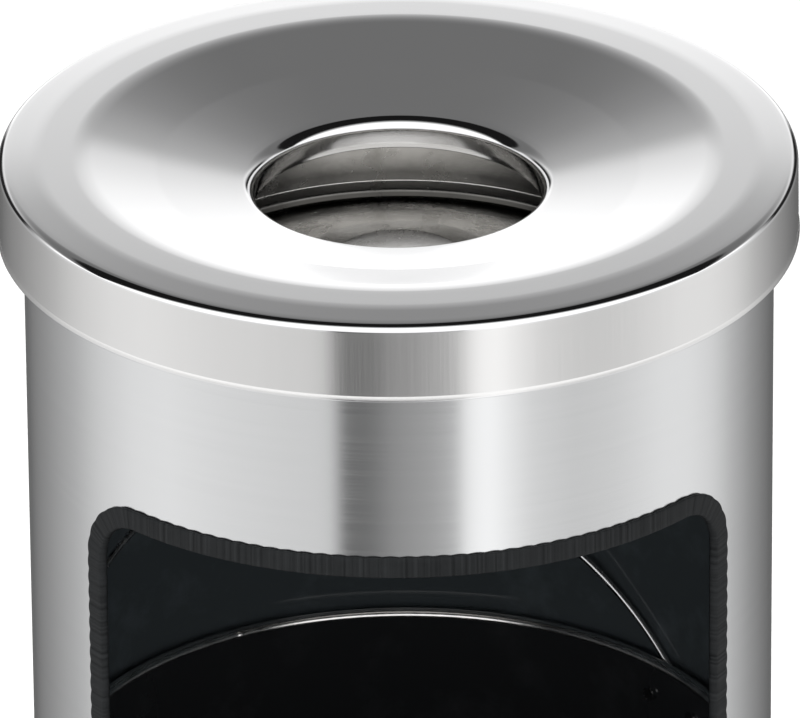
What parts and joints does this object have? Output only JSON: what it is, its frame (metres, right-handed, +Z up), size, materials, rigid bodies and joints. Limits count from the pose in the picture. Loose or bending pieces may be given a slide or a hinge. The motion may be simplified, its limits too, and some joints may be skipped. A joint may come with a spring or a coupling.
{
  "type": "ashtray bin",
  "caption": "Free-standing round steel waste bin with a side opening, lift-off funnel lid and ash bowl, and an inner bin with a carrying handle.",
  "frame": {"origin": "middle of the footprint, on the floor", "axes": "+Z up along the casing's axis; the side opening faces -Y"},
  "size_m": [0.26, 0.26, 0.62],
  "materials": {
    "casing_steel": "fine horizontal grain outside, gloss black paint inside",
    "lid_steel": "polished top, finely brushed skirt",
    "bowl_steel": "plain pressed steel, slightly stained and scratched",
    "edging_rubber": "matt, ribbed across",
    "ring_plastic": "satin black",
    "black_paint": "gloss black",
    "zinc_wire": "drawn and zinc plated",
    "zinc_plate": "zinc plated pressing",
    "rivet_steel": "plain, domed heads"
  },
  "bodies": {
    "casing": {"body_tube": "casing_steel", "opening_trim": "edging_rubber", "base_plate": "black_paint", "floor_ring": "ring_plastic"},
    "ash_head": {"ash_bowl": "bowl_steel", "bowl_rim_wire": "zinc_wire"},
    "lid": {"lid_cover": "lid_steel"},
    "inner_bin": {"liner_wall": "black_paint", "liner_rim_wire": "zinc_wire", "liner_bottom": "black_paint", "handle_ear_back": "zinc_plate", "handle_ear_front": "zinc_plate", "ear_rivets_back": "rivet_steel", "ear_rivets_front": "rivet_steel"},
    "handle": {"bail_handle": "zinc_wire"}
  },
  "joints": [
    {"name": "bowl_lift", "type": "slide", "parent": "casing", "child": "ash_head", "axis": [0, 0, 1], "range_m": [0, 0.7]},
    {"name": "lid_lift", "type": "slide", "parent": "ash_head", "child": "lid", "axis": [0, 0, 1], "range_m": [0, 0.12]},
    {"name": "inner_bin_lift", "type": "slide", "parent": "casing", "child": "inner_bin", "axis": [0, 0, 1], "range_m": [0, 0.63]},
    {"name": "handle_swing", "type": "hinge", "parent": "inner_bin", "child": "handle", "pos_m": [0, 0, 0.3818], "axis": [0.829, 0.5592, 0], "range_deg": [0, 85]}
  ],
  "couplings": [
    {"joint": "inner_bin_lift", "follows": "bowl_lift", "ratio": 0.9}
  ]
}
